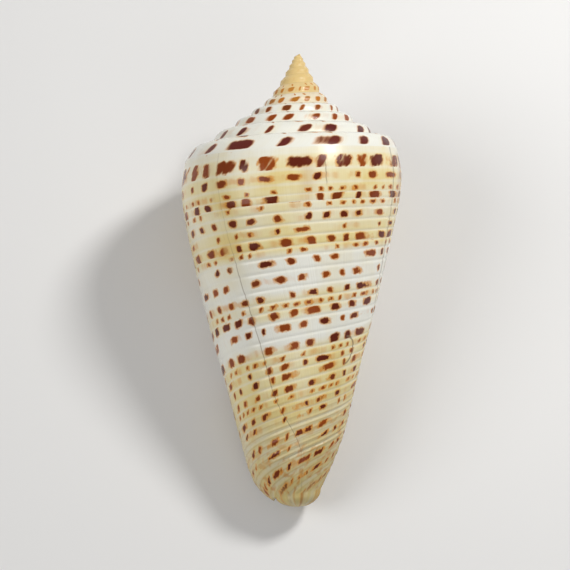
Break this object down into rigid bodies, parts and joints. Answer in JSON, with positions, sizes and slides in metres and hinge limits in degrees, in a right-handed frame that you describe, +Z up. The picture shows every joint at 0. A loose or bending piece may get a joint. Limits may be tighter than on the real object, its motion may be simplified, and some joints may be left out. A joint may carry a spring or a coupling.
{
  "type": "cone shell",
  "caption": "Long cone shell lying on its narrow aperture, with a stepped pointed spire, a tapering last turn and rows of brown spots on cream.",
  "frame": {"origin": "on the resting surface, under the middle of the lying shell's outline", "axes": "+Z up from the resting surface, +Y along the shell towards the tip of the spire, +X to the right when the spire points away and the back is up"},
  "size_m": [0.0292, 0.0586, 0.0272],
  "materials": {
    "shell": "satin porcelain gloss, cream with white bands and spiral rows of dark brown spots with orange edges"
  },
  "bodies": {
    "root": {"shell": "shell"}
  },
  "joints": []
}
